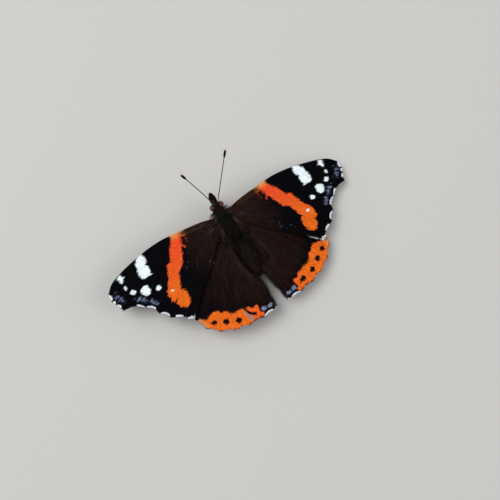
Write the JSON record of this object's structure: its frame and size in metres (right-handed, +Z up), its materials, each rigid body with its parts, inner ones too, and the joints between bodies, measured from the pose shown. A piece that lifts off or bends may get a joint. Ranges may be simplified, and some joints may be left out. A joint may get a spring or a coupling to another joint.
{
  "type": "red admiral butterfly",
  "caption": "Life-size red admiral butterfly at rest on its feet with its four wings spread flat, antennae raised and head turned slightly to its right.",
  "frame": {"origin": "middle of the whole insect's box, on the floor that its feet rest on", "axes": "+Y from tail to head, +X to the butterfly's own right wing, +Z up from the floor"},
  "size_m": [0.0634, 0.0363, 0.0161],
  "materials": {
    "body_fur": "dark brown grey hair and scales",
    "wing_scales": "velvety scales, black brown with orange red bands, white spots and blue marks",
    "eye": "satin faceted brown",
    "cuticle": "dark satin, with pale rings and tips"
  },
  "bodies": {
    "root": {"thorax": "body_fur", "abdomen": "body_fur", "head": "body_fur", "palp_left": "body_fur", "palp_right": "body_fur", "eye_left": "eye", "eye_right": "eye", "antenna_left": "cuticle", "antenna_right": "cuticle", "proboscis": "cuticle", "forewing_left": "wing_scales", "forewing_right": "wing_scales", "hindwing_left": "wing_scales", "hindwing_right": "wing_scales", "leg_fore_left": "cuticle", "leg_fore_right": "cuticle", "leg_mid_left": "cuticle", "leg_mid_right": "cuticle", "leg_hind_left": "cuticle", "leg_hind_right": "cuticle"}
  },
  "joints": []
}
